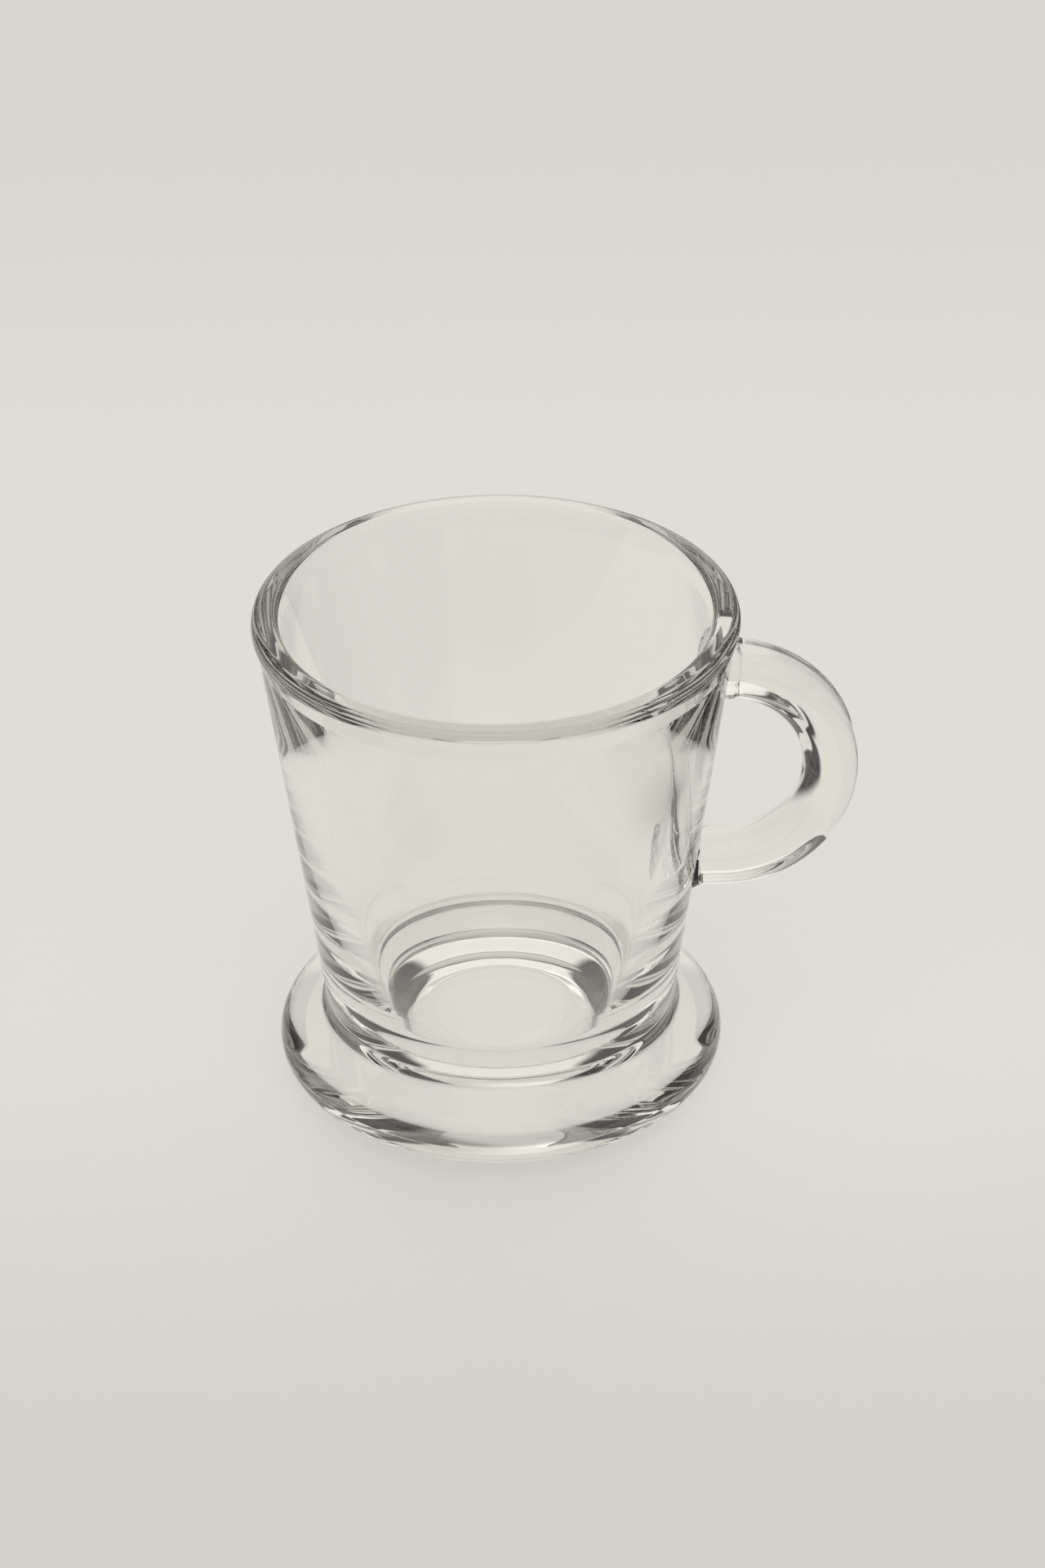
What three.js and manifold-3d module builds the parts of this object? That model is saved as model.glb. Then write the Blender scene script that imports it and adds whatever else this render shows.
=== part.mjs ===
// Clear glass espresso cup: a tapered bowl on a wide round foot, with a ring handle at one side.
// Millimetres, +Z up. The origin is the centre of the foot's underside and +X points to the handle.
import * as THREE from "three";
import { mergeVertices } from "three/addons/utils/BufferGeometryUtils.js";
import Module from "manifold-3d";

// Bowl sizes
const CUP_HEIGHT = 67;
const RIM_DIAMETER = 62;
const RIM_BAND_HEIGHT = 2.5;
const RIM_SWELL_HEIGHT = 4.1;
const RIM_SWELL_ROUND = 3;
const LIP_WIDTH = 3.2;
const LIP_DEPTH = 1.7;
const LIP_OUTER_ROUND = 1.3;
const LIP_INNER_ROUND = 1.2;
const FLARE_DEPTH = 9;
const FLARE_ROUND = 8;
const BOWL_TOP_DIAMETER = 60;
const BOWL_BASE_DIAMETER = 44.6;
const WALL_AT_RIM = 4.3;
const WALL_AT_FLOOR = 6.9;
const WALL_SWELL_POWER = 3;
const FLOOR_THICKNESS = 2.6;
const FLOOR_CORNER_ROUND = 8.5;
const FLOOR_DISH = 0.4;

// Foot sizes
const FOOT_DIAMETER = 58.2;
const FOOT_EDGE_HEIGHT = 6.2;
const FOOT_EDGE_LOW_ROUND = 3.8;
const FOOT_EDGE_TOP_ROUND = 4;
const NECK_HEIGHT = 9.4;
const NECK_FILLET = 2;
const NECK_COLLAR_HEIGHT = 1.2;
const NECK_COLLAR_THICKNESS = 0.3;
const SEAT_HEIGHT = 5.8;

// Recess under the foot, round a small pad level with the ring that the cup stands on
const PAD_DIAMETER = 5;
const PAD_SIDE = 0.8;
const RECESS_FLAT_DIAMETER = 20;
const RECESS_DEPTH = 3.7;
const RECESS_ROUND = 6.4;
const STANDING_RING_DIAMETER = 47.6;
const STANDING_RING_ROUND = 0.8;

// Handle sizes
const HANDLE_REACH = 46.4;
const HANDLE_RING_RADIUS = 13.3;
const HANDLE_THICKNESS = 8;
const HANDLE_WIDTH = 7.9;
const HANDLE_DROP = 6.3;
const HANDLE_CREST_HEIGHT = 2.9;
const HANDLE_CREST_ROUND = 3.9;
const HANDLE_SIDE_ROUND = 1.6;
const HANDLE_OUTER_ROUND = 2.5;

// Gap between the bowl's wall and the handle's cut ends, and between that wall and the foot's collar
const JOINT_CLEARANCE = 0.3;

// Facets of the round shapes
const TURNED_SEGMENTS = 72;
const WALL_STEPS = 8;
const ARC_STEP = THREE.MathUtils.degToRad(15);
const HANDLE_STEPS = 54;
const MERGE_DISTANCE = 1e-4;

const wasm = await Module();
wasm.setup();

// One corner of a turned outline: radius from the axis, height, and the round that eases it.
function corner(radius, height, round = 0) {
  return { at: new THREE.Vector2(radius, height), round };
}

// Length of the side between two corners that an arc may use up: half where both ends are rounded.
function roomFor(here, next) {
  return here.at.distanceTo(next.at) / (next.round > 0 ? 2 : 1);
}

// The outline's points, with each rounded corner as an arc that touches both of its sides.
function easedOutline(corners) {
  const points = [];
  corners.forEach((here, i) => {
    if (here.round === 0) {
      points.push(here.at.clone());
      return;
    }
    const [before, after] = [corners[i - 1], corners[i + 1]];
    const back = before.at.clone().sub(here.at).normalize();
    const ahead = after.at.clone().sub(here.at).normalize();
    const halfAngle = Math.acos(back.dot(ahead)) / 2;
    const reach = Math.min(here.round / Math.tan(halfAngle), roomFor(here, before), roomFor(here, after));
    const toCentre = back.clone().add(ahead).setLength(reach / Math.cos(halfAngle));
    const centre = here.at.clone().add(toCentre);
    const start = here.at.clone().addScaledVector(back, reach).sub(centre);
    const end = here.at.clone().addScaledVector(ahead, reach).sub(centre);
    const sweep = Math.atan2(start.cross(end), start.dot(end));
    const steps = Math.ceil(Math.abs(sweep) / ARC_STEP);
    for (let step = 0; step <= steps; step += 1) {
      points.push(start.clone().rotateAround(new THREE.Vector2(), (sweep * step) / steps).add(centre));
    }
  });
  return points;
}

// A solid turned about the cup's axis, from an outline that starts and ends on that axis.
function turned(points) {
  return new THREE.LatheGeometry(points, TURNED_SEGMENTS).rotateX(Math.PI / 2);
}

// A closed geometry as a solid that can be cut.
function solidFrom(geometry) {
  const bare = geometry.clone();
  bare.deleteAttribute("normal");
  bare.deleteAttribute("uv");
  const merged = mergeVertices(bare, MERGE_DISTANCE);
  const corners = merged.getIndex().array;
  const triVerts = [];
  for (let i = 0; i < corners.length; i += 3) {
    const [a, b, c] = corners.slice(i, i + 3);
    if (a !== b && b !== c && c !== a) {
      triVerts.push(a, b, c);
    }
  }
  const vertProperties = new Float32Array(merged.getAttribute("position").array);
  const mesh = new wasm.Mesh({ numProp: 3, vertProperties, triVerts: new Uint32Array(triVerts) });
  return new wasm.Manifold(mesh);
}

// A cut solid as a geometry again.
function geometryFrom(solid) {
  const mesh = solid.getMesh();
  const geometry = new THREE.BufferGeometry();
  geometry.setAttribute("position", new THREE.BufferAttribute(mesh.vertProperties, mesh.numProp));
  geometry.setIndex(new THREE.BufferAttribute(mesh.triVerts, 1));
  geometry.computeVertexNormals();
  return geometry;
}

// Heights and radii that follow from the sizes above
const rimRadius = RIM_DIAMETER / 2;
const bowlTopRadius = BOWL_TOP_DIAMETER / 2;
const bowlBaseRadius = BOWL_BASE_DIAMETER / 2;
const footRadius = FOOT_DIAMETER / 2;
const bandHeight = CUP_HEIGHT - RIM_BAND_HEIGHT;
const bowlTopHeight = bandHeight - RIM_SWELL_HEIGHT;
const wallSlope = (bowlTopRadius - bowlBaseRadius) / (bowlTopHeight - SEAT_HEIGHT);
const floorHeight = SEAT_HEIGHT + FLOOR_THICKNESS;
const flareHeight = CUP_HEIGHT - FLARE_DEPTH;
const collarHeight = NECK_HEIGHT + NECK_COLLAR_HEIGHT;

// Radius of the bowl's straight outer wall at a height.
function wallRadius(height) {
  return bowlBaseRadius + wallSlope * (height - SEAT_HEIGHT);
}

// Radius of the bowl's inside at a height: the wall thickens downwards, most of all near the floor.
function insideRadius(height) {
  const depth = (CUP_HEIGHT - height) / (CUP_HEIGHT - floorHeight);
  const thickness = THREE.MathUtils.lerp(WALL_AT_RIM, WALL_AT_FLOOR, depth ** WALL_SWELL_POWER);
  return wallRadius(height) - thickness;
}

// Radius of the pocket in the foot that takes the bowl's lower end.
function pocketRadius(height) {
  return wallRadius(height) + JOINT_CLEARANCE;
}

// Foot: a recessed underside, a rounded edge, a top that slopes up to a collar, and the bowl's pocket.
const footOutline = easedOutline([
  corner(0, 0),
  corner(PAD_DIAMETER / 2, 0),
  corner(PAD_DIAMETER / 2 + PAD_SIDE, RECESS_DEPTH),
  corner(RECESS_FLAT_DIAMETER / 2, RECESS_DEPTH, RECESS_ROUND),
  corner(STANDING_RING_DIAMETER / 2, 0, STANDING_RING_ROUND),
  corner(footRadius, 0, FOOT_EDGE_LOW_ROUND),
  corner(footRadius, FOOT_EDGE_HEIGHT, FOOT_EDGE_TOP_ROUND),
  corner(pocketRadius(NECK_HEIGHT) + NECK_COLLAR_THICKNESS, NECK_HEIGHT, NECK_FILLET),
  corner(pocketRadius(collarHeight) + NECK_COLLAR_THICKNESS, collarHeight),
  corner(pocketRadius(collarHeight), collarHeight),
  corner(pocketRadius(SEAT_HEIGHT), SEAT_HEIGHT),
  corner(0, SEAT_HEIGHT),
]);

// Bowl: a straight tapered wall that swells a little at the rim, and an inside that opens out at the lip.
const bowlSide = [
  corner(bowlBaseRadius, SEAT_HEIGHT),
  corner(bowlTopRadius, bowlTopHeight, RIM_SWELL_ROUND),
  corner(rimRadius, bandHeight, RIM_SWELL_ROUND),
  corner(rimRadius, CUP_HEIGHT, LIP_OUTER_ROUND),
];
const insideWall = Array.from({ length: WALL_STEPS }, (_, step) => {
  const height = THREE.MathUtils.lerp(flareHeight, floorHeight + FLOOR_CORNER_ROUND, (step + 1) / WALL_STEPS);
  return corner(insideRadius(height), height);
});
const bowlOutline = easedOutline([
  corner(0, SEAT_HEIGHT),
  ...bowlSide,
  corner(rimRadius - LIP_WIDTH, CUP_HEIGHT, LIP_INNER_ROUND),
  corner(rimRadius - LIP_WIDTH, CUP_HEIGHT - LIP_DEPTH),
  corner(insideRadius(flareHeight), flareHeight, FLARE_ROUND),
  ...insideWall,
  corner(insideRadius(floorHeight), floorHeight, FLOOR_CORNER_ROUND),
  corner(0, floorHeight - FLOOR_DISH),
]);

// Handle: a ring that leaves the wall level, bends half round and comes back level lower down.
class HandlePath extends THREE.Curve {
  constructor(start, centre, radius) {
    super();
    this.start = start;
    this.centre = centre;
    this.radius = radius;
  }

  getPoint(share, target = new THREE.Vector3()) {
    const straight = this.centre.x - this.start;
    const bend = Math.PI * this.radius;
    const along = share * (2 * straight + bend);
    const round = Math.PI / 2 - THREE.MathUtils.clamp((along - straight) / this.radius, 0, Math.PI);
    const left = Math.max(straight - along, along - straight - bend, 0);
    const x = this.centre.x - left + this.radius * Math.cos(round);
    return target.set(x, 0, this.centre.z + this.radius * Math.sin(round));
  }
}

const ringCentre = new THREE.Vector3(
  HANDLE_REACH - HANDLE_THICKNESS / 2 - HANDLE_RING_RADIUS,
  0,
  CUP_HEIGHT - HANDLE_DROP - HANDLE_THICKNESS / 2 - HANDLE_RING_RADIUS,
);

// Section of the handle, with its crest towards the ring's middle and a flatter face outwards.
function handleSection() {
  const [crest, outer, side] = [HANDLE_THICKNESS / 2, -HANDLE_THICKNESS / 2, HANDLE_WIDTH / 2];
  const shoulder = crest - HANDLE_CREST_HEIGHT;
  const outline = easedOutline([
    corner(outer, 0),
    corner(outer, side, HANDLE_OUTER_ROUND),
    corner(shoulder, side, HANDLE_SIDE_ROUND),
    corner(crest, 0, HANDLE_CREST_ROUND),
    corner(shoulder, -side, HANDLE_SIDE_ROUND),
    corner(outer, -side, HANDLE_OUTER_ROUND),
    corner(outer, 0),
  ]);
  return new THREE.Shape(outline.slice(0, -1));
}

// The handle's tube is cut back from the outside of the bowl, so that its ends follow the wall.
function handleGeometry() {
  const start = wallRadius(ringCentre.z - HANDLE_RING_RADIUS) - WALL_AT_RIM / 2;
  const tube = new THREE.ExtrudeGeometry(handleSection(), {
    steps: HANDLE_STEPS,
    extrudePath: new HandlePath(start, ringCentre, HANDLE_RING_RADIUS),
  });
  const filled = easedOutline([corner(0, SEAT_HEIGHT), ...bowlSide, corner(0, CUP_HEIGHT)]);
  const clear = filled.map((point) => {
    const radius = point.x > 0 ? point.x + JOINT_CLEARANCE : 0;
    return new THREE.Vector2(radius, point.y);
  });
  return geometryFrom(solidFrom(tube).subtract(solidFrom(turned(clear))));
}

// A named piece of clear glass.
function glassPiece(name, geometry) {
  const glass = new THREE.MeshStandardMaterial({
    color: 0xe8ebe6,
    roughness: 0.02,
    metalness: 0,
    transparent: true,
    opacity: 0.35,
  });
  const piece = new THREE.Mesh(geometry, glass);
  piece.name = name;
  return piece;
}

const cup = new THREE.Group();
cup.name = "glass_espresso_cup";
cup.add(glassPiece("bowl", turned(bowlOutline)));
cup.add(glassPiece("foot", turned(footOutline)));
cup.add(glassPiece("handle", handleGeometry()));

export default cup;
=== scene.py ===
"""Clear glass espresso cup: a tapered bowl on a wide round foot, with a ring handle at one side.

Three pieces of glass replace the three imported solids. Where they touch, their faces carry a clear
joint finish, so that light crosses from one to the next as it does in one fused body of glass.
Sizes in the classes below are in millimetres. They become metres where a mesh is made.
"""

import logging
import math
from dataclasses import dataclass
from enum import Enum

import bmesh
import bpy
from mathutils import Matrix, Vector


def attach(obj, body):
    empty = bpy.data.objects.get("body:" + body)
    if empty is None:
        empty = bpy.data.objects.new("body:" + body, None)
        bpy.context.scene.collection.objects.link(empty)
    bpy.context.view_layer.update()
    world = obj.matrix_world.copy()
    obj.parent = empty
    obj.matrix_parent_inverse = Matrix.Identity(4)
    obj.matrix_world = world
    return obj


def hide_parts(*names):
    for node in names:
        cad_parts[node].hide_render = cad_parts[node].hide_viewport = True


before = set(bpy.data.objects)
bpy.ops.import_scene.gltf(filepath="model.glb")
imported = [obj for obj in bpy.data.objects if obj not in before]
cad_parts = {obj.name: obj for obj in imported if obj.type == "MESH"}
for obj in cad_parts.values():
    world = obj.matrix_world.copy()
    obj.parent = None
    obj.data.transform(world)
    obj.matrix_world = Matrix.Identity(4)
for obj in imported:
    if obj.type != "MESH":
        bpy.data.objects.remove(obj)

LOG = logging.getLogger("espresso_cup")
MM = 0.001
# Sides of an outline that are shorter than this, in millimetres, are left out.
NO_LENGTH = 1e-6
# Points of a mesh that are closer than this, in metres, become one.
MERGE_REACH = 1e-7
# Light crosses two faces of one thickness of glass, and more where it passes a second one.
THIN_GLASS = 2.5
# Light that has turned inside the glass has a glossy depth of one or more.
TURNED_ONCE = 0.5
# Only the caps of a swept piece have more corners than this.
SIDE_CORNERS = 4.5

Socket = bpy.types.NodeSocket
Value = Socket | float | int | tuple[float, ...]


class Slot(Enum):
    """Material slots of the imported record, one for each piece."""

    BOWL = "bowl_glass"
    FOOT = "foot_glass"
    HANDLE = "handle_glass"


class JointEnd(Enum):
    """Which end of a turned outline lies against the neighbouring piece."""

    FIRST = "first"
    LAST = "last"


class Graph:
    """Shorthand for adding and wiring nodes in one tree."""

    def __init__(self, tree: bpy.types.NodeTree) -> None:
        """Keeps the shader or geometry tree that the nodes go into."""
        self.tree = tree

    def node(self, kind: str, **settings: object) -> bpy.types.Node:
        """Adds one node.

        Args:
            kind: Blender's type name of the node.
            **settings: properties to set on it.

        Returns:
            The new node.
        """
        node = self.tree.nodes.new(kind)
        for name, value in settings.items():
            setattr(node, name, value)
        return node

    def feed(self, socket: Socket, value: Value) -> None:
        """Links an output to a socket, or sets the socket's own value.

        Args:
            socket: input that receives the value.
            value: an output socket or a constant.
        """
        if isinstance(value, bpy.types.NodeSocket):
            self.tree.links.new(value, socket)
        else:
            socket.default_value = value

    def maths(self, operation: str, *values: Value) -> Socket:
        """Adds a maths node.

        Args:
            operation: name of the operation.
            *values: its operands, as sockets or numbers.

        Returns:
            The result's socket.
        """
        node = self.node("ShaderNodeMath", operation=operation)
        for socket, value in zip(node.inputs, values):
            self.feed(socket, value)
        return node.outputs[0]

    def length(self, *values: Value) -> Socket:
        """Adds up distances that stand square to each other.

        Args:
            *values: the distances.

        Returns:
            The length's socket.
        """
        total: Value = 0.0
        for value in values:
            total = self.maths("MULTIPLY_ADD", value, value, total)
        return self.maths("SQRT", total)

    def ramp(
        self, value: Value, low: float, high: float, start: float = 0.0, end: float = 1.0
    ) -> Socket:
        """Adds a smooth step from one level to another.

        Args:
            value: what the step follows.
            low: value where the step starts.
            high: value where the step ends.
            start: level before the step.
            end: level after the step.

        Returns:
            The level's socket.
        """
        node = self.node("ShaderNodeMapRange", interpolation_type="SMOOTHSTEP")
        names = ("Value", "From Min", "From Max", "To Min", "To Max")
        for name, item in zip(names, (value, low, high, start, end)):
            self.feed(node.inputs[name], item)
        return node.outputs[0]


@dataclass(frozen=True)
class Corner:
    """One corner of an outline, with the radius of the arc that eases it."""

    across: float
    up: float
    ease: float = 0.0

    def at(self) -> Vector:
        """Gives the corner's place in the outline's plane."""
        return Vector((self.across, self.up))


@dataclass(frozen=True)
class Outline:
    """A chain of corners, each eased by an arc that touches both of its sides."""

    corners: tuple[Corner, ...]
    closed: bool = False
    arc_step: float = 5.0
    least_steps: int = 3
    support: float = 0.2
    long_side: float = 0.8

    def eased(self, before: Vector, here: Corner, after: Vector) -> list[Vector]:
        """Rounds one corner.

        Args:
            before: place of the corner before it.
            here: the corner itself.
            after: place of the corner after it.

        Returns:
            Points of the arc, or the corner alone where it is sharp.
        """
        if here.ease <= 0:
            return [here.at()]
        back = (before - here.at()).normalized()
        ahead = (after - here.at()).normalized()
        half = math.acos(max(-1.0, min(1.0, back.dot(ahead)))) / 2
        reach = here.ease / math.tan(half)
        centre = here.at() + (back + ahead).normalized() * (here.ease / math.sin(half))
        start = here.at() + back * reach - centre
        end = here.at() + ahead * reach - centre
        sweep = math.atan2(start.x * end.y - start.y * end.x, start.dot(end))
        steps = max(self.least_steps, math.ceil(abs(sweep) / math.radians(self.arc_step)))
        turns = [Matrix.Rotation(sweep * step / steps, 2) for step in range(steps + 1)]
        return [turn @ start + centre for turn in turns]

    def points(self) -> list[Vector]:
        """Follows the outline.

        Returns:
            Its points in order, with a support point close to each end of a long straight side.
        """
        count = len(self.corners)
        chain: list[Vector] = []
        for i, here in enumerate(self.corners):
            before = self.corners[i - 1].at()
            after = self.corners[(i + 1) % count].at()
            chain += self.eased(before, here, after)
        if self.closed:
            chain.append(chain[0])
        points = chain[:1]
        for start, end in zip(chain, chain[1:]):
            side = end - start
            if side.length < NO_LENGTH:
                continue
            if side.length > self.long_side:
                inset = side.normalized() * self.support
                points += [start + inset, end - inset]
            points.append(end)
        return points[:-1] if self.closed else points


@dataclass(frozen=True)
class JointFinish:
    """Fused contact between two pieces: light goes straight on."""

    name: str = "fused_joint"

    def build(self) -> bpy.types.Material:
        """Makes the material.

        Returns:
            A material that is not seen.
        """
        material = bpy.data.materials.new(self.name)
        material.use_nodes = True
        material.node_tree.nodes.clear()
        graph = Graph(material.node_tree)
        clear = graph.node("ShaderNodeBsdfTransparent")
        output = graph.node("ShaderNodeOutputMaterial")
        graph.feed(output.inputs["Surface"], clear.outputs[0])
        return material


@dataclass(frozen=True)
class WallLine:
    """The bowl's straight outer wall, as radius against height."""

    foot_radius: float = 21.478
    slope: float = 0.14053

    def radius(self, height: float) -> float:
        """Gives the wall's radius at a height above the table."""
        return self.foot_radius + self.slope * height


@dataclass(frozen=True)
class RingSection:
    """Section of the handle's ring: a crest towards the finger, flatter outwards."""

    centre_out: float = 29.07
    centre_up: float = 43.36
    radius: float = 13.3
    thickness: float = 8.02
    width: float = 7.9
    crest_height: float = 2.87
    crest_ease: float = 3.93
    side_ease: float = 1.64
    outer_ease: float = 2.51
    root_flare: float = 1.1
    root_margin: float = 0.1
    flare_length: float = 1.2

    def outline(self) -> Outline:
        """Draws the section, across the path and outwards from the ring's middle.

        Returns:
            A closed outline.
        """
        side, depth = self.width / 2, self.thickness / 2
        shoulder = self.crest_height - depth
        return Outline(
            (
                Corner(0.0, -depth, self.crest_ease),
                Corner(side, shoulder, self.side_ease),
                Corner(side, depth, self.outer_ease),
                Corner(-side, depth, self.outer_ease),
                Corner(-side, shoulder, self.side_ease),
            ),
            closed=True,
            arc_step=6.0,
        )

    def inside(self, graph: Graph, x: Socket, y: Socket, z: Socket) -> Socket:
        """Tells where a point lies inside the ring's root.

        Args:
            graph: shader tree that asks.
            x: place along the handle, in millimetres.
            y: place across the handle.
            z: height.

        Returns:
            One inside the root and zero outside it.
        """
        out = graph.maths("MAXIMUM", graph.maths("SUBTRACT", x, self.centre_out), 0.0)
        up = graph.maths("SUBTRACT", z, self.centre_up)
        depth = graph.maths("SUBTRACT", graph.length(out, up), self.radius)
        depth = graph.maths("DIVIDE", depth, self.root_flare)
        side = graph.maths("ABSOLUTE", graph.maths("DIVIDE", y, self.root_flare))
        slant = math.atan2(self.crest_height, self.width / 2)
        middle = self.crest_ease / math.cos(slant) - self.thickness / 2
        past_side = graph.maths("SUBTRACT", side, self.width / 2 - self.outer_ease)
        past_depth = graph.maths("SUBTRACT", depth, self.thickness / 2 - self.outer_ease)
        past = [graph.maths("MAXIMUM", value, 0.0) for value in (past_side, past_depth)]
        boxed = graph.maths("LESS_THAN", graph.length(*past), self.outer_ease)
        crest = graph.maths("MINIMUM", graph.maths("SUBTRACT", depth, middle), 0.0)
        reach = self.width / 2 + self.root_margin
        rounded = graph.maths("LESS_THAN", graph.length(side, crest), reach)
        return graph.maths("MULTIPLY", boxed, rounded)


@dataclass(frozen=True)
class GlassFinish:
    """Clear pressed glass: fire polished, faintly grey inside, with the soft waves of the mould."""

    name: str
    tint: tuple[float, float, float] = (0.985, 0.985, 0.975)
    refraction: float = 1.5
    polish: float = 0.005
    wave_size: float = 9.0
    wave_height: float = 0.01
    wave_stretch: float = 0.35
    cloud_scale: float = 60.0
    cloud_gain: float = 0.012
    smear_scale: float = 220.0
    smear_range: tuple[float, float] = (0.45, 0.75)
    shade: float = 0.02
    skin_depth: float = 1.0
    body_colour: tuple[float, float, float] = (0.5, 0.5, 0.46)
    body_density: float = 8.0

    def build(
        self, root: RingSection | None = None, wall: WallLine | None = None
    ) -> bpy.types.Material:
        """Makes the material.

        Args:
            root: ring whose roots are fused to this piece, if any.
            wall: outer wall that those roots stand on.

        Returns:
            The finished material.
        """
        material = bpy.data.materials.new(self.name)
        material.use_nodes = True
        graph = Graph(material.node_tree)
        shader = material.node_tree.nodes["Principled BSDF"]
        place = graph.node("ShaderNodeTexCoord").outputs["Object"]
        shader.inputs["IOR"].default_value = self.refraction
        shader.inputs["Transmission Weight"].default_value = 1.0
        graph.feed(shader.inputs["Base Color"], self.colour(graph, place))
        graph.feed(shader.inputs["Roughness"], self.gloss(graph, place))
        graph.feed(shader.inputs["Normal"], self.waves(graph, place))
        shadow = graph.node("ShaderNodeLightPath").outputs["Is Shadow Ray"]
        shown = graph.maths("MULTIPLY_ADD", shadow, self.shade - 1.0, 1.0)
        if root is not None and wall is not None:
            free = graph.maths("SUBTRACT", 1.0, self.rooted(graph, place, root, wall))
            shown = graph.maths("MULTIPLY", shown, free)
        graph.feed(shader.inputs["Alpha"], shown)
        body = graph.node("ShaderNodeVolumeAbsorption")
        graph.feed(body.inputs["Color"], (*self.body_colour, 1.0))
        graph.feed(body.inputs["Density"], self.body_density)
        graph.feed(material.node_tree.nodes["Material Output"].inputs["Volume"], body.outputs[0])
        return material

    def colour(self, graph: Graph, place: Socket) -> Socket:
        """Varies the tint faintly through the glass.

        Args:
            graph: tree of the material.
            place: the point's place on the piece.

        Returns:
            The colour's socket.
        """
        cloud = graph.node("ShaderNodeTexNoise")
        graph.feed(cloud.inputs["Vector"], place)
        graph.feed(cloud.inputs["Scale"], self.cloud_scale)
        mix = graph.node("ShaderNodeMix", data_type="RGBA")
        graph.feed(mix.inputs["Factor"], cloud.outputs["Fac"])
        graph.feed(mix.inputs["A"], (*self.tint, 1.0))
        paler = [min(1.0, part + self.cloud_gain) for part in self.tint]
        graph.feed(mix.inputs["B"], (*paler, 1.0))
        return mix.outputs["Result"]

    def gloss(self, graph: Graph, place: Socket) -> Socket:
        """Varies the polish faintly over the surface.

        Args:
            graph: tree of the material.
            place: the point's place on the piece.

        Returns:
            The roughness socket.
        """
        smear = graph.node("ShaderNodeTexNoise")
        graph.feed(smear.inputs["Vector"], place)
        graph.feed(smear.inputs["Scale"], self.smear_scale)
        return graph.ramp(smear.outputs["Fac"], *self.smear_range, 0.0, self.polish)

    def waves(self, graph: Graph, place: Socket) -> Socket:
        """Raises the soft waves of pressed glass, longer up the wall than round it.

        Args:
            graph: tree of the material.
            place: the point's place on the piece.

        Returns:
            The normal's socket.
        """
        stretch = graph.node("ShaderNodeMapping")
        graph.feed(stretch.inputs["Vector"], place)
        graph.feed(stretch.inputs["Scale"], (1.0, 1.0, self.wave_stretch))
        wave = graph.node("ShaderNodeTexNoise")
        graph.feed(wave.inputs["Vector"], stretch.outputs[0])
        graph.feed(wave.inputs["Scale"], 1.0 / (self.wave_size * MM))
        graph.feed(wave.inputs["Detail"], 1.0)
        bump = graph.node("ShaderNodeBump")
        graph.feed(bump.inputs["Distance"], self.wave_height * MM)
        graph.feed(bump.inputs["Height"], wave.outputs["Fac"])
        return bump.outputs[0]

    def rooted(self, graph: Graph, place: Socket, root: RingSection, wall: WallLine) -> Socket:
        """Finds the patches of the outer wall that the handle's roots cover.

        Args:
            graph: tree of the material.
            place: the point's place on the piece.
            root: the handle's ring.
            wall: the straight outer wall.

        Returns:
            One on those patches and zero elsewhere.
        """
        scale = graph.node("ShaderNodeVectorMath", operation="SCALE")
        graph.feed(scale.inputs[0], place)
        graph.feed(scale.inputs["Scale"], 1.0 / MM)
        parts = graph.node("ShaderNodeSeparateXYZ")
        graph.feed(parts.inputs[0], scale.outputs[0])
        x, y, z = parts.outputs
        line = graph.maths("MULTIPLY_ADD", z, wall.slope, wall.foot_radius - self.skin_depth)
        outside = graph.maths("GREATER_THAN", graph.length(x, y), line)
        facing = graph.maths("MULTIPLY", outside, graph.maths("GREATER_THAN", x, 0.0))
        return graph.maths("MULTIPLY", facing, root.inside(graph, x, y, z))


def finish_shape(
    obj: bpy.types.Object, tree: bpy.types.NodeTree, inputs: dict[str, object]
) -> None:
    """Runs a geometry tree on an object once and keeps its result as the object's mesh.

    Args:
        obj: object that holds the drawn line.
        tree: geometry tree to run.
        inputs: values of the tree's named inputs.
    """
    modifier = obj.modifiers.new("shape", "NODES")
    modifier.node_group = tree
    for item in tree.interface.items_tree:
        if item.item_type == "SOCKET" and item.in_out == "INPUT" and item.name in inputs:
            modifier[item.identifier] = inputs[item.name]
    graph = bpy.context.evaluated_depsgraph_get()
    made = bpy.data.meshes.new_from_object(obj.evaluated_get(graph))
    obj.modifiers.clear()
    line, obj.data = obj.data, made
    bpy.data.meshes.remove(line)
    made.name = obj.name


def line_object(name: str, points: list[Vector], closed: bool = False) -> bpy.types.Object:
    """Makes an object that holds one line of points.

    Args:
        name: name of the object.
        points: places along the line, in metres.
        closed: whether the last point joins the first.

    Returns:
        The linked object.
    """
    count = len(points)
    edges = [(i, (i + 1) % count) for i in range(count if closed else count - 1)]
    mesh = bpy.data.meshes.new(name)
    mesh.from_pydata([tuple(point) for point in points], edges, [])
    obj = bpy.data.objects.new(name, mesh)
    bpy.context.scene.collection.objects.link(obj)
    return obj


def settle(obj: bpy.types.Object, sharp: float = 40.0) -> None:
    """Turns the faces outwards, shades them smooth and keeps the joint's edges crisp.

    Args:
        obj: piece whose mesh is closed.
        sharp: angle in degrees above which an edge stays crisp.
    """
    mesh = obj.data
    work = bmesh.new()
    work.from_mesh(mesh)
    bmesh.ops.recalc_face_normals(work, faces=work.faces)
    if work.calc_volume(signed=True) < 0:
        bmesh.ops.reverse_faces(work, faces=work.faces)
    open_edges = sum(1 for edge in work.edges if not edge.is_manifold)
    work.to_mesh(mesh)
    work.free()
    mesh.shade_smooth()
    mesh.set_sharp_from_angle(angle=math.radians(sharp))
    LOG.info("%s: %d faces, %d open edges", obj.name, len(mesh.polygons), open_edges)


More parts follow.
